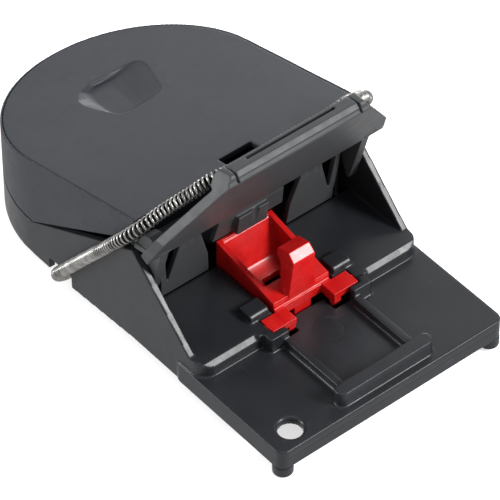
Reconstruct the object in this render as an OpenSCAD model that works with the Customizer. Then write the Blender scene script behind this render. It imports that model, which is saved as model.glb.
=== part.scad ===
// Press-to-set snap mouse trap: a hollow base, a rocking lever with a falling jaw,
// a trigger with a bait cup, and one long coil spring joined into a ring round both.
// +X is right, +Y is towards the rear (thumb) end, +Z is up. Shown set.

/* [Base] */
// Width of the front plate
body_w = 54; // [50:1:58]
// Length from the front plate's edge to the rear end
body_l = 101; // [97:1:105]
// Height of the front plate's top
plate_z = 7.3; // [6.8:0.1:7.8]
// Height of the raised floor in front of the cup
floor_z = 10.5; // [10:0.1:11]
// Wall of the hollow mouldings
wall = 1.4; // [1.2:0.1:1.6]
// Height of the apex of each side wall
apex_z = 26.1; // [25.5:0.1:26.5]

/* [Lever] */
// Height of the thumb pad's front edge
pad_z = 33.9; // [33:0.1:35]
// Slope of the thumb pad down towards the rear, degrees
pad_tilt = 14.2; // [13:0.1:15]
// Gap between the lever's skirt and the base at the rear
seam_gap = 0.4; // [0.3:0.1:0.6]
// Height of the striking beam's top
beam_z = 49.2; // [48:0.1:50]
// Half the length of the striking beam
beam_half = 15; // [14:0.5:16]
// Height of the lever's pivot
pivot_z = 26.4; // [26:0.1:26.8]
// Diameter of the lever's steel pivot pins
pin_d = 2; // [1.8:0.1:2.2]

/* [Trigger] */
// Half the width of the bait cup
cup_half = 6.7; // [6:0.1:7]
// Height of the trigger's post
post_z = 22; // [21:0.1:22.2]
// Diameter of the trigger's pivot
trigger_d = 2.2; // [2:0.1:2.4]

/* [Fits] */
// Radial running clearance of both pivots
run_gap = 0.05; // [0.03:0.01:0.09]
// Tether hole diameter
tether_d = 4.8; // [4:0.1:5.5]

/* [Spring] */
// Outer diameter of the coil spring
spring_d = 2.8; // [2.4:0.1:3]

/* [Hidden] */
$fn = 64;

half_w = body_w / 2;
front_y = -body_l / 2;
rear_y = body_l / 2;
skirt_z = 2.7;                  // lower edge of the front plate
rear_skirt_z = 1.4;             // lower edge of the rear part, nearer the ground
side_x = half_w - 0.4;          // outer face of the side walls and of the D
inner_x = side_x - wall;
d_y = rear_y - side_x;          // centre of the D-shaped rear
floor_front = -27.4;            // front edge of the raised floor
floor_rear = -8.1;              // where the raised floor ends under the jaw
well_z = 3.6;                   // underside of the rear well
tray_top = 3.4;                 // inside of the tray under the trigger
seam_z = 9.75;                  // top edge of the base at the rear
apex_y = -7.3;
wall_front = -23.6;             // foot of the side walls' front slope
bend_y = 24;                    // where the rear slope meets the level seam
far = 80;                       // longer than anything, for cutters

pivot = [-6.2, pivot_z];        // lever's axis: y and z
lug_r = 2.1;
arm_in = 23.1;                  // inner and outer faces of the jaw's arms
arm_out = 25;
post_in = 21.9;                 // inner and outer faces of the pivot posts
post_out = 22.9;
skirt_x = 21.7;                 // outer edge of the jaw's skirts

pad_y = -8;                     // front edge of the thumb pad
pad_t = 1.5;
rim = 0.5;                      // lever rim left showing round the pad
trough_z = 27.4;                // underside of the spring trough at the pad
inner_corner = [-3.1, 26.1 + seam_gap / 2];
lip = [-13.8, 28.35];           // lower front edge of the jaw plate: y and z
crest = [-23, 46.6];            // upper front edge of the jaw plate: y and z
plate_t = 2.1;

tether_at = [-21.4, -46.2];
front_foot = [25.1, -48.6];
rear_foot = [14, 40];
foot_r = 2;
axle = [-26.2, 9.2];            // trigger's axis: y and z
wing_x = 10.3;                  // outer end of the trigger's wings
bearing_x = 12.2;               // outer end of the trigger's bearings
cup_front = -23.6;
cup_rear = -7.2;
clip_in = 7.8;

function pad_top(y) = pad_z - (y - pad_y) * tan(pad_tilt);

// Extrudes an outline given as y, z points along X, from x0 to x1.
module side(points, x0, x1) {
    translate([x0, 0, 0]) rotate([90, 0, 90]) linear_extrude(x1 - x0) polygon(points);
}

// The same on both sides of the middle plane.
module sides(points, x0, x1) {
    side(points, x0, x1);
    side(points, -x1, -x0);
}

// Extrudes an outline given as x, z points along Y, from y0 to y1.
module front(points, y0, y1) {
    translate([0, y1, 0]) rotate([90, 0, 0]) linear_extrude(y1 - y0) polygon(points);
}

// Box from its lowest to its highest corner.
module block(a, b) {
    translate(a) cube(b - a);
}

// Round bar along X at a given y, z.
module bar_x(at, r, x0, x1) {
    translate([x0, at[0], at[1]]) rotate([0, 90, 0]) cylinder(r = r, h = x1 - x0);
}

// Upright block with rounded vertical edges.
module soft_block(a, b, r) {
    translate([0, 0, a[2]]) linear_extrude(b[2] - a[2]) soft_rect(a, b, r);
}

module soft_rect(a, b, r) {
    translate([a[0] + r, a[1]]) square([b[0] - a[0] - 2 * r, b[1] - a[1]]);
    translate([a[0], a[1] + r]) square([b[0] - a[0], b[1] - a[1] - 2 * r]);
    for (x = [a[0] + r, b[0] - r], y = [a[1] + r, b[1] - r])
        translate([x, y]) circle(r);
}

// D-shaped plan: straight sides from y0 back, then a half circle of radius r.
module d_plan(r, y0) {
    translate([-r, y0]) square([2 * r, d_y - y0]);
    translate([0, d_y]) circle(r, $fn = 128);
}

module d_prism(r, y0, z0, z1) {
    translate([0, 0, z0]) linear_extrude(z1 - z0) d_plan(r, y0);
}

// Plan of the raised part of the base: rounded front corners, D-shaped rear.
module body_plan() {
    corner = 3.2;
    translate([-side_x + corner, floor_front]) square([2 * (side_x - corner), corner]);
    for (x = [-1, 1])
        translate([x * (side_x - corner), floor_front + corner]) circle(corner);
    d_plan(side_x, floor_front + corner);
}

module base_shell() color([0.16, 0.165, 0.175]) difference() {
    union() {
        soft_block([-half_w, front_y, skirt_z], [half_w, floor_front + 8, plate_z], 1.8);
        intersection() {
            linear_extrude(far) body_plan();
            side([
                [floor_front, skirt_z], [floor_front, floor_z], [wall_front, floor_z],
                [apex_y, apex_z], [bend_y, seam_z], [rear_y + 1, seam_z],
                [rear_y + 1, rear_skirt_z], [12, rear_skirt_z], [-6.3, skirt_z]
            ], -side_x, side_x);
        }
    }
    plate_hollow();
    // Space above the raised floor, and the deeper well behind it.
    d_prism(inner_x, floor_front - 5, floor_z, far);
    d_prism(inner_x, floor_rear, well_z + wall, far);
    // Hollow underside of the raised floor, with a ledge under the crossbar, and of the rear.
    difference() {
        block([-inner_x, floor_front + wall, -1], [inner_x, floor_rear - wall, floor_z - 1.6]);
        tray();
        block([-4.4, floor_front, plate_z - 1.6], [4.4, -25, plate_z]);
    }
    difference() {
        d_prism(inner_x, floor_rear + wall, -1, well_z);
        tray();
    }
    trigger_opening();
    tether_hole();
    // Notches in the lower edge where the spring ring passes under the base.
    for (x = [-side_x, inner_x])
        block([x - 1, 11.8, -1], [x + wall + 1, 18.6, 4.2]);
}

module plate_hollow() {
    difference() {
        block([-half_w + wall, front_y + wall, -1], [half_w - wall, floor_front, plate_z - 1.6]);
        tray();
        for (x = [-1, 1])
            translate([x * front_foot[0], front_foot[1], -2]) cylinder(r = foot_r, h = far);
    }
}

// Thin tray under the trigger that closes the base below it.
module tray() difference() {
    block([-13, -33, -2], [13, -4.8, far]);
    block([-12.2, -32.2, tray_top], [12.2, -5.6, far]);
}

module trigger_opening() {
    // Cup well, wing pocket and the bores of the trigger's bearings.
    block([-cup_half - 0.6, -25, tray_top], [cup_half + 0.6, floor_rear + 2, far]);
    block([-cup_half - 0.6, floor_rear - 3, tray_top], [cup_half + 0.6, -5.8, well_z + wall + 0.01]);
    for (s = [0, 1]) mirror([s, 0, 0])
        block([4.4, -28.5, tray_top], [wing_x + 0.3, -24.2, far]);
    block([-4.5, -28.5, plate_z], [4.5, -24.2, far]);
    // Way for the return leaf under the plate.
    block([-2.4, -28.5, tray_top], [2.4, -24.2, plate_z - 1.6]);
    bar_x(axle, trigger_d / 2 + run_gap, -11.8, 11.8);
}

module tether_hole() {
    translate([tether_at[0], tether_at[1], -1]) cylinder(d = tether_d, h = far);
    translate([tether_at[0], tether_at[1], plate_z - 0.4])
        cylinder(r1 = tether_d / 2, r2 = tether_d / 2 + 0.5, h = 0.5);
}

// Raised frame on the plate that the beam strikes over.
module strike_frame() color([0.17, 0.175, 0.185]) {
    arm = [7.6, 9.2];
    for (s = [-1, 1]) {
        x0 = s > 0 ? arm[0] : -arm[1];
        block([x0, -45.9, plate_z], [x0 + arm[1] - arm[0], -30, 9.2]);
    }
    soft_block([-11.4, -48.7, plate_z], [11.4, -45.8, 10.7], 1.4);
}

// Brackets in front of the trigger's wings, and tabs behind them.
module trigger_clips() color([0.13, 0.135, 0.145]) for (s = [-1, 1]) {
    mirror([s > 0 ? 0 : 1, 0, 0]) {
        difference() {
            soft_block([clip_in, -29.9, plate_z], [bearing_x, -27.45, 10.7], 0.3);
            block([clip_in - 1, -28.5, -1], [wing_x + 0.3, -27, far]);
            bar_x(axle, trigger_d / 2 + run_gap, 0, 11.8);
        }
        side([[-24, floor_z], [-24, 11.5], [-23.5, 12], [-20.4, 12], [-20.1, 11.7], [-20.1, floor_z]],
            clip_in, bearing_x);
    }
}

// Ribs inside the side walls that carry the lever's pins in open cradles.
module pivot_posts() color([0.15, 0.155, 0.165]) difference() {
    sides([
        [-7.7, well_z + wall], [-7.7, 24.8], [pivot[0] - 1.2, pivot[1] - 0.35],
        [pivot[0] + 1.2, pivot[1]], [pivot[0] + 3, pivot[1] - 1.6], [-3.2, well_z + wall]
    ], post_in, post_out);
    bar_x(pivot, pin_d / 2 + run_gap, -far / 2, far / 2);
}

// Round feet under the four corners.
module foot_studs() color([0.12, 0.12, 0.125]) for (x = [-1, 1]) {
    foot([x * front_foot[0], front_foot[1]], skirt_z);
    foot([x * rear_foot[0], rear_foot[1]], well_z);
}

module foot(at, top) {
    edge = 0.7;
    translate([at[0], at[1], 0]) {
        cylinder(r1 = foot_r - edge, r2 = foot_r, h = edge);
        translate([0, 0, edge]) cylinder(r = foot_r, h = top - edge);
    }
}

// Outline of the lever in side view.
lever_outline = [
    [pad_y, pad_top(pad_y)], [rear_y + 1, pad_top(rear_y + 1)],
    [rear_y + 1, seam_z + seam_gap], [bend_y - 0.6, seam_z + seam_gap],
    inner_corner, [pad_y, trough_z]
];

module lever_shell() color([0.18, 0.185, 0.2]) difference() {
    intersection() {
        linear_extrude(far) d_plan(side_x, pad_y);
        side(lever_outline, -side_x, side_x);
    }
    // Hollow below the pad's ledge.
    intersection() {
        d_prism(inner_x, pad_y + wall, -1, far);
        side([
            [pad_y, -1], [pad_y, pad_top(pad_y) - pad_t - 1.2],
            [rear_y, pad_top(rear_y) - pad_t - 1.2], [rear_y, -1]
        ], -side_x, side_x);
    }
    intersection() {
        d_prism(inner_x - 1.4, pad_y + wall + 1.4, -1, far);
        side([[pad_y, -1], [pad_y, far], [rear_y, far], [rear_y, -1]], -side_x, side_x);
    }
    // Rebate for the thumb pad.
    intersection() {
        d_prism(side_x - rim + 0.1, pad_y - 1, 0, far);
        side([
            [pad_y - 1, pad_top(pad_y - 1) - pad_t], [pad_y - 1, far],
            [rear_y, far], [rear_y, pad_top(rear_y) - pad_t]
        ], -side_x, side_x);
    }
    // Room for the pins and for the lugs of the jaw's arms.
    for (s = [0, 1]) mirror([s, 0, 0]) {
        bar_x(pivot, pin_d / 2 + 0.25, post_in - 0.5, arm_in);
        block([arm_in - 0.15, pad_y - 1, trough_z - 1],
            [side_x + 1, pad_y + wall + 1, pivot[1] + lug_r + 0.4]);
    }
}

// D-shaped thumb pad with a scooped recess and a slot behind its front edge.
module press_pad() color([0.2, 0.205, 0.22]) difference() {
    intersection() {
        linear_extrude(far) d_plan(side_x - rim, pad_y);
        side([
            [pad_y, pad_top(pad_y)], [rear_y, pad_top(rear_y)],
            [rear_y, pad_top(rear_y) - pad_t], [pad_y, pad_top(pad_y) - pad_t]
        ], -side_x, side_x);
    }
    block([-3.9, -7.1, 0], [3.9, -4.5, far]);
    thumb_recess();
}

// Thumb recess, wider towards the rear, with shallow sloped sides round a flat floor.
module thumb_recess() {
    for (step = [[0, 0.35], [0.8, 0.6], [1.7, 0.85], [2.8, 1.05]])
        intersection() {
            linear_extrude(far) polygon([
                [-5.9 + step[0] / 6, 21.9], [5.9 - step[0] / 6, 21.9], [8.9 - step[0], 33],
                [7.2 - step[0] / 2, 35.5], [-7.2 + step[0] / 2, 35.5], [-8.9 + step[0], 33]
            ]);
            side([[21, pad_top(21) - step[1]], [36, pad_top(36) - step[1]], [36, far], [21, far]], -9, 9);
        }
}

// Front moulding of the lever: beam, slanted plate, spring trough, arms and skirts.
module jaw() color([0.17, 0.175, 0.185]) difference() {
    union() {
        jaw_plate();
        beam();
        trough();
        ears();
        arms();
        for (s = [0, 1]) mirror([s, 0, 0]) skirt();
        latch_tab();
    }
    bar_x(pivot, pin_d / 2, -far / 2, far / 2);
}

module jaw_plate() intersection() {
    back = [plate_t * 0.893, plate_t * 0.449];
    wide = 28.2;
    side([lip, crest, crest + back, lip + back], -wide, wide);
    front([
        [-wide, lip[1] - 1], [-wide, 29.2], [-side_x, 34.2], [-beam_half, 50],
        [beam_half, 50], [side_x, 34.2], [wide, 29.2], [wide, lip[1] - 1]
    ], -30, 0);
}

// Striking beam: rounded front edge over a small lip, slanted ends and a long pocket in its top.
module beam() difference() {
    intersection() {
        side([
            [-22.9, 46.4], [-23.2, 46.9], [-23.45, 47.4], [-23.3, 47.8], [-22.85, 48], [-22.95, 48.3],
            [-22.75, 48.75], [-22.4, beam_z - 0.1], [-22, beam_z], [-19.7, beam_z - 0.3],
            [-19.1, beam_z - 0.7], [-18.9, beam_z - 1.4], [-19.3, 46.2], [-20.7, 45.2]
        ], -18, 18);
        front([
            [-side_x, 34.2], [-beam_half, 50], [beam_half, 50], [side_x, 34.2]
        ], -30, 0);
    }
    block([-10.3, -20.7, beam_z - 1.4], [10.5, -19.9, far]);
    for (x = [-beam_half + 0.4, beam_half - 0.8])
        side([
            [-26, 47.3], [-26, far], [-10, far], [-10, beam_z - 0.8], [-21.8, beam_z - 0.6],
            [-22.5, 48], [-22.6, 47.3]
        ], x, x + 0.4);
}

module trough() {
    side([
        [pad_y, trough_z], [pad_y, trough_z + 1.2], [-12.6, trough_z + 2.2],
        [-12.2, lip[1] + 1], [lip[0] + 0.6, lip[1] + 0.1]
    ], -side_x, side_x);
}

// Rounded end walls of the trough that the spring is drawn over.
module ears() sides([
    [pad_y, trough_z + 1], [-9, 29.6], [-9.6, 31.2], [-10.7, 32.3], [-12, 32.7],
    [-13.3, 32.2], [-14.3, 31], [-14.7, 29.6], [-13.6, 28.4]
], 23.4, 26.2);

module arms() for (s = [0, 1]) mirror([s, 0, 0]) {
    side([
        lip, [-13, 29.4], [pad_y, trough_z + 0.6], [-4.6, 26.6], [-5, 24.4],
        [-8, 20.2], [-9.6, 16.3], [-10.4, 16.3], [-11.4, 19.6]
    ], arm_in, arm_out);
    bar_x(pivot, lug_r, arm_in, arm_out);
}

// Upright front wall under the trough, as a y, z outline down to a given height.
function wall_outline(low) = [[-10, 28], [-9.4, 22.2], [-8.3, low], [-7.2, low], [-8.2, 22.2], [-8.8, 28]];

// One of the two skirts beside the cup, with V-shaped windows and a ribbed tooth between them.
module skirt() {
    foot_z = floor_z + 0.4;
    difference() {
        side(wall_outline(foot_z), 6, skirt_x);
        front([[5, foot_z - 1], [9.3, foot_z - 1], [9.9, 15.8], [13.4, 27.1], [5, 27.1]], -20, 0);
        front([[19.6, 14.1], [15.9, 27.1], [20.7, 27.1], [20.6, 22.1]], -20, 0);
        front([[far, foot_z - 1], [20.9, foot_z - 1], [20.9, 13], [skirt_x, 20], [far, 20]], -20, 0);
        for (x = [13.3, 15.4])
            side([[-12, 26], [-9.3, 26], [-9.3, 15.2], [-12, 15.2]], x, x + 1.05);
    }
}

// Panel between the skirts and the tab in its middle that bears on the cup's rear wall.
module latch_tab() {
    intersection() {
        side(wall_outline(17.3), -9, 9);
        front([[-8.5, 17.3], [-7.9, 22.2], [-7, 28], [7, 28], [7.9, 22.2], [8.5, 17.3]], -20, 0);
    }
    difference() {
        side([[-10.3, 21.9], [-8.6, 21.9], [-8.2, 17.2], [-9.6, 17.2]], -3.65, 3.65);
        translate([0.5, -10.5, 16]) cylinder(r = 0.8, h = 7);
    }
}

module pivot_pins() color([0.72, 0.73, 0.75]) {
    bar_x(pivot, pin_d / 2, post_in - 0.1, arm_out);
    bar_x(pivot, pin_d / 2, -arm_out, -post_in + 0.1);
}

// Trigger: wings on the axis, crossbar, upright post and bait cup in one moulding.
module trigger() color([0.8, 0.05, 0.05]) {
    difference() {
        union() {
            cup_body();
            crossbar();
            post();
        }
        // Scoop of the cup, and its drain behind the post.
        intersection() {
            bar_x([-17.5, 16.45], 9.85, -cup_half + 1.1, cup_half - 1.1);
            block([-far / 2, -19.9, 0], [far / 2, cup_rear, far]);
        }
        block([-1.3, -18.4, 0], [3, -13.9, 12]);
    }
    for (s = [0, 1]) mirror([s, 0, 0]) {
        wing();
        bar_x(axle, trigger_d / 2, 4.7, 11.6);
    }
}

module cup_body() side([
    [cup_front, 8.4], [cup_front, 12], [cup_rear, 15.6], [cup_rear, 9.5], [-10, 6], [-19, 5.4]
], -cup_half, cup_half);

module crossbar() side([
    [-24.4, 8.4], [-24.4, 10.3], [cup_front - 0.2, 12], [cup_front + 0.4, 12], [cup_front + 0.4, 8.4]
], -cup_half, cup_half);

module post() intersection() {
    side([
        [-24.1, 11], [-24.7, 21], [-23.1, post_z], [-19.7, 21.1], [-19.9, 19.6],
        [-21.1, 18.2], [-21.4, 13.5], [-19.8, 9], [-23, 9]
    ], -4, 4);
    front([[-3.4, 8], [-3.2, 12], [-2.4, 23], [2.4, 23], [3.2, 12], [3.4, 8]], -30, -10);
}

module wing() {
    side([[-28.1, 9.1], [-28.1, 10.5], [-24.5, 10.5], [-24.5, 8.2], [-26.6, 8.2]], 4.6, wing_x);
    side([[-28, 8], [-28, 9.6], [-25.6, 9.6], [-26.8, 7.2], [-27.6, 7.2]], 4.7, 6.3);
    block([4.6, -24.8, 8.4], [cup_half, -24, 10.3]);
}

// Thin return leaf under the plate, in front of the trigger's axis.
module trigger_leaf() color([0.75, 0.05, 0.05]) side([
    [-24.4, 8.4], [-23.6, 8.4], [-23.6, 5], [-31, 4.3], [-31, 4.8], [-24.4, 5.4]
], -2, 2);

// Half of the spring ring's route, from under the base to behind the beam: x, y, z.
ring_route = [
    [0, 15.4, 1.6], [12, 15.4, 1.6], [23, 15.4, 1.6], [26.4, 15.1, 2.4], [28.1, 13.4, 5.2],
    [28.1, 6, 14.3], [28.15, -2, 23.9], [28.15, -7, 30], [26.8, -10.5, 34.5], [23.6, -13.2, 38.8],
    [19.6, -15.9, 42.5], [15.6, -17.5, 45], [11, -17.9, 44.9], [0, -17.9, 44.9]
];

function spline(a, b, c, d, t) = 0.5 * (2 * b + (c - a) * t
    + (2 * a - 5 * b + 4 * c - d) * t * t + (3 * b - a - 3 * c + d) * t * t * t);
function flip(p) = [-p[0], p[1], p[2]];
function unit(v) = v / norm(v);
ring_normal = unit([0, 0.78, 0.63]);     // roughly across the ring's plane

module spring() color([0.75, 0.75, 0.76]) {
    n = len(ring_route);
    steps = 3;
    sides_n = 8;
    count = 2 * (n - 1) * steps;
    line = [for (i = [0 : count - 1]) let (k = floor(i / steps), t = (i % steps) / steps)
        spline(ring_knot(k - 1), ring_knot(k), ring_knot(k + 1), ring_knot(k + 2), t)];
    points = [for (i = [0 : count - 1])
        let (ahead = line[(i + 1) % count], behind = line[(i + count - 1) % count],
            along_line = unit(ahead - behind), out = unit(cross(along_line, ring_normal)),
            up = cross(out, along_line))
        for (j = [0 : sides_n - 1]) let (a = 360 * j / sides_n)
            line[i] + spring_d / 2 * (cos(a) * out + sin(a) * up)];
    faces = [for (i = [0 : count - 1], j = [0 : sides_n - 1])
        let (i2 = (i + 1) % count, j2 = (j + 1) % sides_n)
            [i * sides_n + j, i2 * sides_n + j, i2 * sides_n + j2, i * sides_n + j2]];
    polyhedron(points, faces);
}

// The ring's knots, counted all the way round.
function ring_knot(i) = let (n = len(ring_route), m = 2 * (n - 1), k = ((i % m) + m) % m)
    k < n ? ring_route[k] : flip(ring_route[m - k]);

base_shell();
strike_frame();
trigger_clips();
pivot_posts();
foot_studs();
lever_shell();
press_pad();
jaw();
pivot_pins();
trigger();
trigger_leaf();
spring();
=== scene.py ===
import math

import bmesh
import bpy
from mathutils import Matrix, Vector


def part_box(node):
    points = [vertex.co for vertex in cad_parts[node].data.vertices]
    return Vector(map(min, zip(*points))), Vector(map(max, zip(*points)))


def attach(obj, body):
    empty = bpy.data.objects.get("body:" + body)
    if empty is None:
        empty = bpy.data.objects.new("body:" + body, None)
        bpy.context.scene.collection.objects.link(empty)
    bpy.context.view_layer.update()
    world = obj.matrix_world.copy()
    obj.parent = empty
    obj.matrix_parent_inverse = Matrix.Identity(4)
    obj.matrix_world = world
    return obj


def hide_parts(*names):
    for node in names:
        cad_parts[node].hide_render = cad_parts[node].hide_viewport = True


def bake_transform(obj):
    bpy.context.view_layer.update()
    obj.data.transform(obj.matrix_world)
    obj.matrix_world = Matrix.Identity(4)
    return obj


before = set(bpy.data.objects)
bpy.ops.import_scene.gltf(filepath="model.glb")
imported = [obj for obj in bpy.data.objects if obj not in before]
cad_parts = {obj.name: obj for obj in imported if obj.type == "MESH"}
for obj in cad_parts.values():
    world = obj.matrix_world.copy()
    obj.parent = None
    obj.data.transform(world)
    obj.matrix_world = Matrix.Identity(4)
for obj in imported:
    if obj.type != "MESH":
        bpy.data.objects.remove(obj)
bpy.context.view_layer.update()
MM = 0.001


# ---------------------------------------------------------------- places, from the frame


BASE_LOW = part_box("base_shell")[0]
BAR_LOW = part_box("strike_frame")[0]
PAD_LOW, PAD_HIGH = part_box("press_pad")


# ---------------------------------------------------------------- material helpers

def new_material(name):
    material = bpy.data.materials.new(name)
    material.use_nodes = True
    return material, material.node_tree


def add_node(tree, kind, links=(), **values):
    """A shader node with its input values; links is a list of (input, output socket)."""
    node = tree.nodes.new(kind)
    for key, value in values.items():
        if key in node.inputs:
            node.inputs[key].default_value = value
        else:
            setattr(node, key, value)
    for key, source in links:
        tree.links.new(source, node.inputs[key])
    return node


def place_node(tree):
    """Coordinates of the piece itself, in metres."""
    return tree.nodes.new("ShaderNodeTexCoord").outputs["Object"]


def noise(tree, place, per_mm, detail=3.0, roughness=0.55):
    """Noise with that many cells a millimetre."""
    node = add_node(tree, "ShaderNodeTexNoise", [("Vector", place)], Scale=per_mm / MM, Detail=detail,
                    Roughness=roughness)
    return node.outputs["Fac"]


def ramp(tree, source, stops):
    """A ramp of grey or colour stops, each a place from 0 to 1 and a colour."""
    node = add_node(tree, "ShaderNodeValToRGB", [("Fac", source)])
    elements = node.color_ramp.elements
    for element, (at, colour) in zip(elements, stops):
        element.position = at
        element.color = colour
    for at, colour in stops[2:]:
        elements.new(at).color = colour
    return node.outputs["Color"]


def grey(value):
    return (value, value, value, 1.0)


def spread(tree, source, low, high, from_low=0.0, from_high=1.0):
    """Maps a value from one range to another."""
    node = add_node(tree, "ShaderNodeMapRange", [("Value", source)])
    node.inputs["From Min"].default_value = from_low
    node.inputs["From Max"].default_value = from_high
    node.inputs["To Min"].default_value = low
    node.inputs["To Max"].default_value = high
    return node.outputs["Result"]


def arithmetic(tree, kind, a, b):
    node = tree.nodes.new("ShaderNodeMath")
    node.operation = kind
    for socket, value in zip(node.inputs, (a, b)):
        if isinstance(value, (int, float)):
            socket.default_value = value
        else:
            tree.links.new(value, socket)
    return node.outputs["Value"]


def blend_colours(tree, share, first, second):
    """Mixes two colours by a share from 0 to 1."""
    node = tree.nodes.new("ShaderNodeMix")
    node.data_type = "RGBA"
    tree.links.new(share, node.inputs["Factor"])
    for key, value in (("A", first), ("B", second)):
        socket = [s for s in node.inputs if s.name == key and s.type == "RGBA"][0]
        if isinstance(value, tuple):
            socket.default_value = value
        else:
            tree.links.new(value, socket)
    return [s for s in node.outputs if s.type == "RGBA"][0]


def scratches(tree, place, turn, per_mm):
    """Thin straight marks that lie one way: stretched noise, cut to its highest values."""
    mapped = add_node(tree, "ShaderNodeMapping", [("Vector", place)])
    mapped.inputs["Rotation"].default_value = (0.2, 0.1, turn)
    mapped.inputs["Scale"].default_value = (1.0, 0.035, 0.3)
    value = noise(tree, mapped.outputs["Vector"], per_mm, 2.0, 0.5)
    return spread(tree, value, 0.0, 1.0, 0.70, 0.76)


def edge_wear(tree):
    """High on sharp outer edges, zero on flat faces."""
    geometry = tree.nodes.new("ShaderNodeNewGeometry")
    return spread(tree, geometry.outputs["Pointiness"], 0.0, 1.0, 0.53, 0.60)


def moulded_plastic(name, dark, light, gloss, shine, grain):
    """Satin moulded plastic: cloudy tone, fine speckle, hairline marks, paler rubbed edges, fine grain."""
    material, tree = new_material(name)
    place = place_node(tree)
    cloud = noise(tree, place, 0.09, 4.0)
    speckle = noise(tree, place, 5.0, 2.0)
    dust = spread(tree, noise(tree, place, 2.6, 1.0), 0.0, 1.0, 0.72, 0.78)
    marks = arithmetic(tree, "MAXIMUM", scratches(tree, place, 0.6, 1.4), scratches(tree, place, -1.1, 1.1))
    tone = blend_colours(tree, spread(tree, cloud, 0.0, 1.0, 0.3, 0.7), dark, light)
    pale = tuple(2.2 * part for part in light[:3]) + (1.0,)
    tone = blend_colours(tree, arithmetic(tree, "MULTIPLY", speckle, 0.22), tone, pale)
    tone = blend_colours(tree, arithmetic(tree, "MULTIPLY", dust, 0.16), tone, pale)
    tone = blend_colours(tree, arithmetic(tree, "MULTIPLY", marks, 0.30), tone, pale)
    tone = blend_colours(tree, arithmetic(tree, "MULTIPLY", edge_wear(tree), 0.35), tone, pale)
    rough = spread(tree, noise(tree, place, 0.35, 3.0), gloss[0], gloss[1], 0.3, 0.7)
    rough = arithmetic(tree, "ADD", rough, arithmetic(tree, "MULTIPLY", marks, 0.12))
    shader = tree.nodes["Principled BSDF"]
    tree.links.new(tone, shader.inputs["Base Color"])
    tree.links.new(rough, shader.inputs["Roughness"])
    shader.inputs["IOR"].default_value = 1.5
    shader.inputs["Specular IOR Level"].default_value = shine
    height = arithmetic(tree, "ADD", noise(tree, place, 6.0, 2.0),
                        arithmetic(tree, "MULTIPLY", marks, -0.6))
    bump = add_node(tree, "ShaderNodeBump", [("Height", height)], Strength=grain, Distance=0.02 * MM)
    tree.links.new(bump.outputs["Normal"], shader.inputs["Normal"])
    return material


def red_gloss():
    """Glossy red plastic with faint flow lines and a slightly uneven skin."""
    material, tree = new_material("red_plastic")
    place = place_node(tree)
    flow = add_node(tree, "ShaderNodeMapping", [("Vector", place)])
    flow.inputs["Scale"].default_value = (1.0, 0.25, 1.6)
    cloud = noise(tree, flow.outputs["Vector"], 0.35, 3.0)
    tone = ramp(tree, cloud, [
        (0.25, (0.46, 0.005, 0.006, 1.0)), (0.8, (0.62, 0.018, 0.014, 1.0)), (0.5, (0.55, 0.010, 0.010, 1.0))
    ])
    tone = blend_colours(tree, arithmetic(tree, "MULTIPLY", edge_wear(tree), 0.25), tone,
                         (0.95, 0.16, 0.12, 1.0))
    rough = spread(tree, noise(tree, place, 0.8, 3.0), 0.22, 0.29, 0.3, 0.7)
    shader = tree.nodes["Principled BSDF"]
    tree.links.new(tone, shader.inputs["Base Color"])
    tree.links.new(rough, shader.inputs["Roughness"])
    shader.inputs["IOR"].default_value = 1.5
    shader.inputs["Specular IOR Level"].default_value = 0.30
    shader.inputs["Coat Weight"].default_value = 0.05
    shader.inputs["Coat Roughness"].default_value = 0.15
    bump = add_node(tree, "ShaderNodeBump", [("Height", noise(tree, place, 1.1, 3.0))], Strength=0.25,
                    Distance=0.03 * MM)
    tree.links.new(bump.outputs["Normal"], shader.inputs["Normal"])
    return material


def drawn_steel():
    """Bright spring wire: fine draw lines and darker oil film in patches; painted shade darkens the inside
    of the coils.
    """
    material, tree = new_material("spring_steel")
    place = place_node(tree)
    film = noise(tree, place, 0.5, 4.0)
    tone = ramp(tree, film, [(0.35, (0.20, 0.195, 0.185, 1.0)), (0.62, (0.50, 0.49, 0.47, 1.0))])
    # Painted shade: the wire's side facing the coil's middle is blended to near black, standing in for the
    # shade inside the coil.
    side = add_node(tree, "ShaderNodeAttribute", attribute_name="outside")
    painted_inner_shade = spread(tree, side.outputs["Fac"], 1.0, 0.0, -0.5, 0.3)
    tone = blend_colours(tree, painted_inner_shade, tone, (0.012, 0.011, 0.010, 1.0))
    fine = noise(tree, place, 9.0, 2.0)
    shader = tree.nodes["Principled BSDF"]
    tree.links.new(tone, shader.inputs["Base Color"])
    tree.links.new(spread(tree, fine, 0.22, 0.42, 0.3, 0.7), shader.inputs["Roughness"])
    shader.inputs["Metallic"].default_value = 1.0
    bump = add_node(tree, "ShaderNodeBump", [("Height", fine)], Strength=0.2, Distance=0.01 * MM)
    tree.links.new(bump.outputs["Normal"], shader.inputs["Normal"])
    return material


def pale_floor():
    """White floor with a little glow; glossy reflections see it darker, so the plastic keeps its depth."""
    material, tree = new_material("floor_pale")
    place = place_node(tree)
    tone = ramp(tree, noise(tree, place, 0.02, 2.0), [(0.3, grey(0.86)), (0.7, grey(0.90))])
    rays = tree.nodes.new("ShaderNodeLightPath").outputs
    tone = blend_colours(tree, rays["Is Glossy Ray"], tone, grey(0.08))
    shader = tree.nodes["Principled BSDF"]
    tree.links.new(tone, shader.inputs["Base Color"])
    shader.inputs["Roughness"].default_value = 0.85
    shader.inputs["Specular IOR Level"].default_value = 0.1
    shader.inputs["Emission Color"].default_value = (1.0, 1.0, 1.0, 1.0)
    shader.inputs["Emission Strength"].default_value = 0.62
    return material


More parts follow.
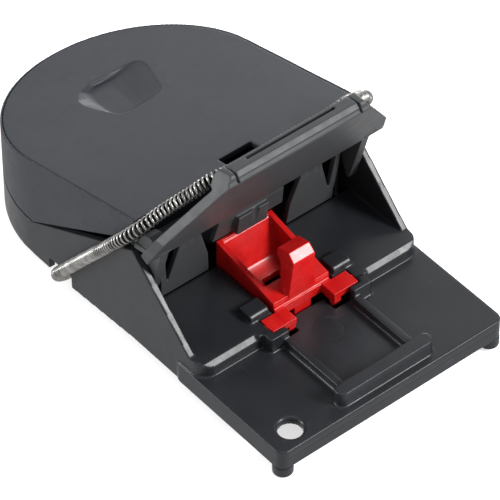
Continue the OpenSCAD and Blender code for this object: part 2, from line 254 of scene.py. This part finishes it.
BLACK = moulded_plastic(
    "black_plastic", dark=(0.011, 0.012, 0.014, 1), light=(0.017, 0.018, 0.021, 1),
    gloss=(0.30, 0.38), shine=0.32, grain=0.35
)
SLATE = moulded_plastic(
    "slate_plastic", dark=(0.030, 0.031, 0.033, 1), light=(0.038, 0.040, 0.042, 1),
    gloss=(0.42, 0.50), shine=0.32, grain=0.35
)
CHARCOAL = moulded_plastic(
    "charcoal_plastic", dark=(0.017, 0.019, 0.024, 1), light=(0.021, 0.024, 0.030, 1),
    gloss=(0.43, 0.50), shine=0.30, grain=0.6
)
RED = red_gloss()
STEEL = drawn_steel()


# ---------------------------------------------------------------- mesh helpers

def piece_from(name, mesh):
    piece = bpy.data.objects.new(name, mesh)
    bpy.context.scene.collection.objects.link(piece)
    return piece


def solid_copy(name, nodes):
    """One closed solid from copies of CAD nodes."""
    copies = []
    for node in nodes:
        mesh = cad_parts[node].data.copy()
        welded = bmesh.new()
        welded.from_mesh(mesh)
        bmesh.ops.remove_doubles(welded, verts=welded.verts, dist=0.0005 * MM)
        bmesh.ops.dissolve_degenerate(welded, edges=welded.edges, dist=0.0005 * MM)
        bmesh.ops.recalc_face_normals(welded, faces=welded.faces)
        welded.to_mesh(mesh)
        welded.free()
        copies.append(piece_from(node + "_copy", mesh))
    body = copies[0]
    body.name = name
    for other in copies[1:]:
        join_solids(body, other, "UNION")
    return body


def join_solids(body, other, operation):
    """Adds or takes away another solid, which is then removed."""
    step = body.modifiers.new("solid", "BOOLEAN")
    step.operation = operation
    step.solver = "EXACT"
    step.object = other
    apply_modifiers(body)
    bpy.data.objects.remove(other)


def apply_modifiers(piece):
    """Puts the result of a piece's modifiers in its mesh."""
    view = bpy.context.evaluated_depsgraph_get()
    mesh = bpy.data.meshes.new_from_object(piece.evaluated_get(view))
    piece.modifiers.clear()
    piece.data = mesh


def soften(piece, voxel, keep, passes=3):
    """Rebuilds a solid from fine voxels and eases it, which gives every edge and corner a small radius."""
    step = piece.modifiers.new("voxels", "REMESH")
    step.mode = "VOXEL"
    step.voxel_size = voxel
    step = piece.modifiers.new("ease", "SMOOTH")
    step.factor = 0.5
    step.iterations = passes
    step = piece.modifiers.new("thin", "DECIMATE")
    step.ratio = keep
    apply_modifiers(piece)
    for face in piece.data.polygons:
        face.use_smooth = True


def prism(name, outline, low, high, axis="X"):
    """Closed solid: an outline in mm extruded along an axis; its points are y, z or x, z or x, y."""
    place = {"X": lambda a, b, c: (c, a, b), "Y": lambda a, b, c: (a, c, b), "Z": lambda a, b, c: (a, b, c)}
    mesh = bmesh.new()
    ends = [
        [mesh.verts.new(Vector(place[axis](a, b, c)) * MM) for a, b in outline]
        for c in (low, high)
    ]
    for end in ends:
        mesh.faces.new(end)
    count = len(outline)
    for i in range(count):
        after = (i + 1) % count
        mesh.faces.new((ends[0][i], ends[0][after], ends[1][after], ends[1][i]))
    bmesh.ops.recalc_face_normals(mesh, faces=mesh.faces)
    data = bpy.data.meshes.new(name)
    mesh.to_mesh(data)
    mesh.free()
    return piece_from(name, data)


def tube(name, line, radius, closed=False, sides=8):
    """Round bar along a line of points, all in mm."""
    mesh = bmesh.new()
    points = [Vector(point) for point in line]
    count = len(points)
    rings = []
    for i, point in enumerate(points):
        before = points[i - 1] if closed or i else point
        after = points[(i + 1) % count] if closed or i < count - 1 else point
        ahead = (after - before).normalized()
        spare = Vector((0, 0, 1)) if abs(ahead.z) < 0.8 else Vector((1, 0, 0))
        first = ahead.cross(spare).normalized()
        second = ahead.cross(first)
        angles = [2 * math.pi * k / sides for k in range(sides)]
        rings.append([
            mesh.verts.new((point + radius * (math.cos(a) * first + math.sin(a) * second)) * MM)
            for a in angles
        ])
    for i in range(count if closed else count - 1):
        here = rings[i]
        there = rings[(i + 1) % count]
        for k in range(sides):
            corner = (k + 1) % sides
            mesh.faces.new((here[k], here[corner], there[corner], there[k]))
    if not closed:
        mesh.faces.new(rings[0])
        mesh.faces.new(rings[-1])
    bmesh.ops.recalc_face_normals(mesh, faces=mesh.faces)
    data = bpy.data.meshes.new(name)
    mesh.to_mesh(data)
    mesh.free()
    return piece_from(name, data)


def cut(body, *cutters):
    for cutter in cutters:
        join_solids(body, cutter, "DIFFERENCE")


def add(body, *extras):
    for extra in extras:
        join_solids(body, extra, "UNION")


def finish_piece(piece, material, slot, body, *nodes):
    piece.data.materials.clear()
    piece.data.materials.append(material)
    if body:
        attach(piece, body)
    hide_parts(*nodes)


# ---------------------------------------------------------------- pieces

# Outlines and places below are in mm; prism, tube and close_loft turn them into metres.
PLATE_TOP = BAR_LOW.z / MM
FLOOR_TOP = 10.5
FLOOR_FRONT = -27.4


def circle_line(x, y, z, radius, count=48):
    """Points of a level circle, in mm."""
    angles = [2 * math.pi * k / count for k in range(count)]
    return [(x + radius * math.cos(a), y + radius * math.sin(a), z) for a in angles]


def make_base():
    """Base with its frame, clips and posts in one moulding."""
    nodes = ["base_shell", "strike_frame", "trigger_clips", "pivot_posts"]
    piece = solid_copy("base_moulding", nodes)
    bevel = 1.0
    ramp_line = [
        (FLOOR_FRONT - 1, FLOOR_TOP - bevel - 1), (FLOOR_FRONT + bevel + 1, FLOOR_TOP + 1),
        (FLOOR_FRONT - 1, FLOOR_TOP + 1)
    ]
    edge = 13.2
    side_edge = 27
    cut(piece, prism("bevel_right", ramp_line, edge, side_edge))
    cut(piece, prism("bevel_left", ramp_line, -side_edge, -edge))
    ring_y = -32.1
    ring_radius = 2.8
    ring_wire = 0.24
    ring = circle_line(0, ring_y, PLATE_TOP + 0.17, ring_radius)
    cut(piece, tube("ejector_ring", ring, ring_wire, True))
    line_half = 24.6
    line_y = BASE_LOW.y / MM - 0.1
    line_z = 5.6
    line_radius = 0.22
    rim_line = [(-line_half, line_y, line_z), (line_half, line_y, line_z)]
    cut(piece, tube("rim_line", rim_line, line_radius))
    soften(piece, voxel=0.19 * MM, keep=0.16)
    finish_piece(piece, BLACK, "black_plastic", "base", *nodes)
    return piece


def make_feet():
    piece = solid_copy("feet", ["foot_studs"])
    soften(piece, voxel=0.15 * MM, keep=0.3)
    finish_piece(piece, BLACK, "black_plastic", "base", "foot_studs")
    return piece


def make_lever():
    piece = solid_copy("lever_moulding", ["lever_shell"])
    soften(piece, voxel=0.19 * MM, keep=0.16)
    finish_piece(piece, CHARCOAL, "charcoal_plastic", "lever", "lever_shell")
    return piece


PAD_SLOPE = math.radians(14.2)


def pad_top(y):
    """Height of the pad's sloping top, in mm."""
    return PAD_HIGH.z / MM - (y - PAD_LOW.y / MM) * math.tan(PAD_SLOPE)


# Rim of the thumb recess, and the edge of its flat floor, as x, y in mm, point for point.
SCOOP_RIM = [
    (-5.0, 22.3), (-3.5, 22.0), (0.6, 22.0), (3.9, 22.6), (5.3, 23.6), (6.8, 27.5), (8.1, 31.0),
    (8.8, 33.3), (8.5, 34.9), (7.1, 35.5), (2.3, 35.8), (-2.6, 36.0), (-5.6, 35.0), (-7.8, 32.8),
    (-8.1, 30.6), (-7.6, 28.0), (-6.8, 25.4), (-5.9, 23.3)
]
SCOOP_FLOOR = [
    (-4.9, 22.8), (-3.8, 22.6), (-2.4, 22.7), (-1.6, 23.4), (-1.0, 24.6), (-0.4, 27.5), (0.2, 31.0),
    (0.8, 32.6), (1.2, 34.0), (1.6, 34.9), (0.4, 35.4), (-1.8, 35.5), (-3.4, 34.9), (-4.5, 32.6),
    (-5.1, 30.6), (-5.5, 28.0), (-5.7, 25.4), (-5.6, 23.5)
]


def close_loft(name, rings):
    """Closed solid through rings of points in mm, all with the same count."""
    mesh = bmesh.new()
    made = [[mesh.verts.new(Vector(point) * MM) for point in ring] for ring in rings]
    count = len(rings[0])
    for here, there in zip(made, made[1:]):
        for k in range(count):
            after = (k + 1) % count
            mesh.faces.new((here[k], here[after], there[after], there[k]))
    mesh.faces.new(made[0])
    mesh.faces.new(made[-1])
    bmesh.ops.recalc_face_normals(mesh, faces=mesh.faces)
    data = bpy.data.meshes.new(name)
    mesh.to_mesh(data)
    mesh.free()
    return piece_from(name, data)


# Rings of the recess, from above its rim to its floor: the share of the way in, and the depth in mm.
SCOOP_STEPS = [(0.0, -0.6), (0.0, 0.06), (0.25, 0.3), (0.5, 0.57), (0.75, 0.83), (1.0, 1.0)]


def scoop_cutter():
    """Solid that hollows the thumb recess: sloping walls down to its floor."""
    rings = []
    for share, depth in SCOOP_STEPS:
        ring = []
        for (rim_x, rim_y), (floor_x, floor_y) in zip(SCOOP_RIM, SCOOP_FLOOR):
            x = rim_x + (floor_x - rim_x) * share
            y = rim_y + (floor_y - rim_y) * share
            ring.append((x, y, pad_top(y) - depth))
        rings.append(ring)
    return close_loft("scoop", rings)


def make_pad():
    """Pad whose stepped recess is filled, then hollowed again with smooth walls."""
    piece = solid_copy("thumb_pad", ["press_pad"])
    skin = 0.01
    fill_front = 21
    fill_rear = 36.5
    fill_half = 9.2
    fill_depth = 1.3
    fill = [
        (fill_front, pad_top(fill_front) - skin), (fill_rear, pad_top(fill_rear) - skin),
        (fill_rear, pad_top(fill_rear) - fill_depth), (fill_front, pad_top(fill_front) - fill_depth)
    ]
    add(piece, prism("scoop_fill", fill, -fill_half, fill_half))
    cut(piece, scoop_cutter())
    soften(piece, voxel=0.17 * MM, keep=0.18, passes=4)
    finish_piece(piece, CHARCOAL, "charcoal_plastic", "lever", "press_pad")
    return piece


def make_jaw():
    piece = solid_copy("jaw_moulding", ["jaw"])
    bevel = [(-23.2, 48.15), (-21.9, 49.3), (-23.4, 49.6)]
    beam_half = 14.4
    cut(piece, prism("beam_bevel", bevel, -beam_half, beam_half))
    soften(piece, voxel=0.14 * MM, keep=0.16, passes=2)
    finish_piece(piece, SLATE, "black_plastic", "lever", "jaw")
    return piece


def make_pins():
    piece = solid_copy("steel_pins", ["pivot_pins"])
    soften(piece, voxel=0.1 * MM, keep=0.3, passes=2)
    finish_piece(piece, STEEL, "spring_steel", "lever", "pivot_pins")
    return piece


def make_trigger():
    """Red trigger: the cup's rear wall is smoothed, the post gets a bevel and the crossbar its step."""
    nodes = ["trigger", "trigger_leaf"]
    piece = solid_copy("trigger_moulding", nodes)
    cup_in = 5.7
    post_half = 3.0
    post_foot = 3.5
    bar_half = 6.9
    ramp_fill = [(-7.95, 15.1), (-12.0, 7.35), (-12.3, 6.9), (-9.3, 8.5), (-7.6, 12)]
    add(piece, prism("cup_ramp", ramp_fill, -cup_in, cup_in))
    post_bevel = [(-24.9, 20.15), (-22.95, 22.1), (-24.9, 22.5)]
    cut(piece, prism("post_bevel", post_bevel, -post_half, post_half))
    low_step = [(-25, 10.55), (-23.95, 10.55), (-23.95, 11), (-25, 11)]
    high_step = [(-25, 10.9), (-23.95, 10.9), (-23.95, 12.2), (-25, 12.2)]
    cut(piece, prism("step", low_step, -bar_half, bar_half))
    cut(piece, prism("step_right", high_step, post_foot, bar_half))
    cut(piece, prism("step_left", high_step, -bar_half, -post_foot))
    soften(piece, voxel=0.1 * MM, keep=0.16, passes=5)
    finish_piece(piece, RED, "red_plastic", "trigger", *nodes)
    return piece


# ---------------------------------------------------------------- spring

# Half of the ring's route, from under the base to behind the beam, in mm.
SPRING_ROUTE = [
    (0, 15.4, 1.6), (12, 15.4, 1.6), (23, 15.4, 1.6), (26.4, 15.1, 2.4), (28.1, 13.4, 5.2),
    (28.1, 6, 14.3), (28.15, -2, 23.9), (28.15, -7, 30), (26.8, -10.5, 34.5), (23.6, -13.2, 38.8),
    (19.6, -15.9, 42.5), (15.6, -17.5, 45), (11, -17.9, 44.9), (0, -17.9, 44.9)
]


def curve_point(a, b, c, d, share):
    """Point between b and c on a smooth curve through four points."""
    return 0.5 * (2 * b + (c - a) * share + (2 * a - 5 * b + 4 * c - d) * share ** 2
                  + (3 * b - a - 3 * c + d) * share ** 3)


def ring_line():
    """The spring's centre line all the way round, evenly spaced, in metres."""
    half = [Vector(point) * MM for point in SPRING_ROUTE]
    other = [Vector((-point.x, point.y, point.z)) for point in half[-2:0:-1]]
    knots = half + other
    count = len(knots)
    steps = 24
    line = []
    for i in range(count):
        near = [knots[(i + shift) % count] for shift in (-1, 0, 1, 2)]
        line += [curve_point(*near, step / steps) for step in range(steps)]
    return line


def evenly(line, spacing):
    """Resamples a closed line; returns points with their distance along it and the whole length."""
    lengths = [(line[(i + 1) % len(line)] - point).length for i, point in enumerate(line)]
    whole = sum(lengths)
    count = round(whole / spacing)
    spacing = whole / count
    points = []
    i = 0
    start = 0.0
    for k in range(count):
        at = k * spacing
        while at > start + lengths[i]:
            start += lengths[i]
            i += 1
        share = (at - start) / lengths[i]
        points.append(line[i].lerp(line[(i + 1) % len(line)], share))
    return points, whole


def ring_frames(points):
    """An outward and an upward direction across the line at each point, without twist jumps."""
    count = len(points)
    frames = []
    across = Vector((0, 0.78, 0.63)).normalized()
    for i, point in enumerate(points):
        ahead = (points[(i + 1) % count] - points[i - 1]).normalized()
        out = ahead.cross(across).normalized()
        frames.append((out, out.cross(ahead)))
    return frames


WIRE_R = 0.27 * MM
RING_R = 1.4 * MM
COIL_R = RING_R - WIRE_R - 0.01 * MM
# Coil spacing by height: close on the base, widest round the ears, then easing up to the beam.
PITCHES = [(18, 0.57), (24, 0.95), (32, 1.4), (38, 0.95), (44, 0.85)]


def pitch_at(point):
    """Distance between neighbouring coils at a point of the ring."""
    z = point.z / MM
    if z <= PITCHES[0][0]:
        return PITCHES[0][1] * MM
    for (low, first), (high, second) in zip(PITCHES, PITCHES[1:]):
        if z < high:
            return (first + (second - first) * (z - low) / (high - low)) * MM
    return PITCHES[-1][1] * MM


def winding():
    """Points of the wire's own helix round the ring, each with its direction away from the coil's middle."""
    points, whole = evenly(ring_line(), 0.05 * MM)
    frames = ring_frames(points)
    spacing = whole / len(points)
    turns = [0.0]
    for point in points:
        turns.append(turns[-1] + spacing / pitch_at(point))
    stretch = round(turns[-1]) / turns[-1]
    wire = []
    per_turn = 14
    total = round(turns[-1])
    i = 0
    for k in range(total * per_turn):
        turn = k / per_turn
        while turns[i + 1] * stretch < turn:
            i += 1
        out, up = frames[i]
        angle = 2 * math.pi * turn
        away = math.cos(angle) * out + math.sin(angle) * up
        wire.append((points[i] + COIL_R * away, away))
    return wire


def make_spring():
    """Real windings of one closed coil spring; it bends where it crosses the lever's pivot."""
    wire = winding()
    count = len(wire)
    sides = 6
    mesh = bmesh.new()
    # outside: 1 on the wire's side away from the coil's middle, -1 on the side facing it; the steel paints
    # shade on the inward side from it.
    outside = mesh.verts.layers.float.new("outside")
    rings = []
    for i, (point, away) in enumerate(wire):
        ahead = (wire[(i + 1) % count][0] - wire[i - 1][0]).normalized()
        across = ahead.cross(away).normalized()
        ring = []
        for k in range(sides):
            angle = 2 * math.pi * k / sides
            vertex = mesh.verts.new(point + WIRE_R * (math.cos(angle) * away + math.sin(angle) * across))
            vertex[outside] = math.cos(angle)
            ring.append(vertex)
        rings.append(ring)
    for i in range(count):
        here = rings[i]
        there = rings[(i + 1) % count]
        for k in range(sides):
            corner = (k + 1) % sides
            mesh.faces.new((here[k], here[corner], there[corner], there[k]))
    bmesh.ops.recalc_face_normals(mesh, faces=mesh.faces)
    for face in mesh.faces:
        face.smooth = True
    data = bpy.data.meshes.new("ring_spring")
    mesh.to_mesh(data)
    mesh.free()
    piece = piece_from("ring_spring", data)
    finish_piece(piece, STEEL, "spring_steel", None, "spring")
    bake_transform(piece)
    return piece


# ---------------------------------------------------------------- stage

def make_floor():
    side = 3.0
    mesh = bmesh.new()
    bmesh.ops.create_grid(mesh, x_segments=8, y_segments=8, size=side / 2)
    data = bpy.data.meshes.new("floor")
    mesh.to_mesh(data)
    mesh.free()
    floor = piece_from("floor", data)
    floor.location.z = -0.02 * MM
    data.materials.append(pale_floor())


def area_light(name, place, target, size, power):
    data = bpy.data.lights.new(name, "AREA")
    data.shape = "RECTANGLE"
    data.size, data.size_y = size
    data.energy = power
    lamp = bpy.data.objects.new(name, data)
    bpy.context.scene.collection.objects.link(lamp)
    lamp.location = place
    lamp.visible_camera = False
    lamp.rotation_euler = (Vector(target) - Vector(place)).to_track_quat("-Z", "Y").to_euler()


LAMP_DISTANCE = 1.2
# Each softbox: its name, the direction it stands in, its width and height, and its radiance.
STUDIO = [
    ("rear_softbox", (0.50, 0.80, 0.34), (0.7, 0.42), 1.35),
    ("rear_high_softbox", (0.70, 0.42, 0.64), (0.4, 0.4), 2.5),
    ("front_right_softbox", (0.45, -0.69, 0.56), (0.36, 0.34), 42.0),
    ("right_softbox", (0.74, 0.67, 0.03), (0.4, 0.2), 15.0),
    ("left_softbox", (-0.78, 0.55, 0.28), (0.4, 0.5), 15.0),
    ("overhead", (0.0, 0.1, 1.0), (0.5, 0.5), 2.0)
]


def make_lights():
    world = bpy.data.worlds.new("studio")
    bpy.context.scene.world = world
    world.use_nodes = True
    background = world.node_tree.nodes["Background"]
    background.inputs["Color"].default_value = (0.97, 0.985, 1.0, 1.0)
    background.inputs["Strength"].default_value = 0.5
    centre = Vector((0.0, 0.0, 0.015))
    for name, direction, size, radiance in STUDIO:
        place = centre + Vector(direction).normalized() * LAMP_DISTANCE
        power = math.pi * size[0] * size[1] * radiance
        area_light(name, place, centre, size, power)


CAMERA_TARGET = Vector((1.37, -7.34, 8.38)) * MM
CAMERA_PLACE = Vector((-339.5, -418.3, 541.4)) * MM


def make_camera():
    data = bpy.data.cameras.new("camera")
    data.lens = 288
    data.sensor_width = 36
    data.clip_end = 20
    camera = bpy.data.objects.new("camera", data)
    bpy.context.scene.collection.objects.link(camera)
    camera.location = CAMERA_PLACE
    camera.rotation_euler = (CAMERA_TARGET - CAMERA_PLACE).to_track_quat("-Z", "Y").to_euler()
    bpy.context.scene.camera = camera


def make_look():
    settings = bpy.context.scene.view_settings
    settings.view_transform = "Standard"
    settings.look = "None"


make_camera()
make_lights()
make_look()
make_floor()
make_base()
make_feet()
make_lever()
make_pad()
make_jaw()
make_pins()
make_trigger()
make_spring()
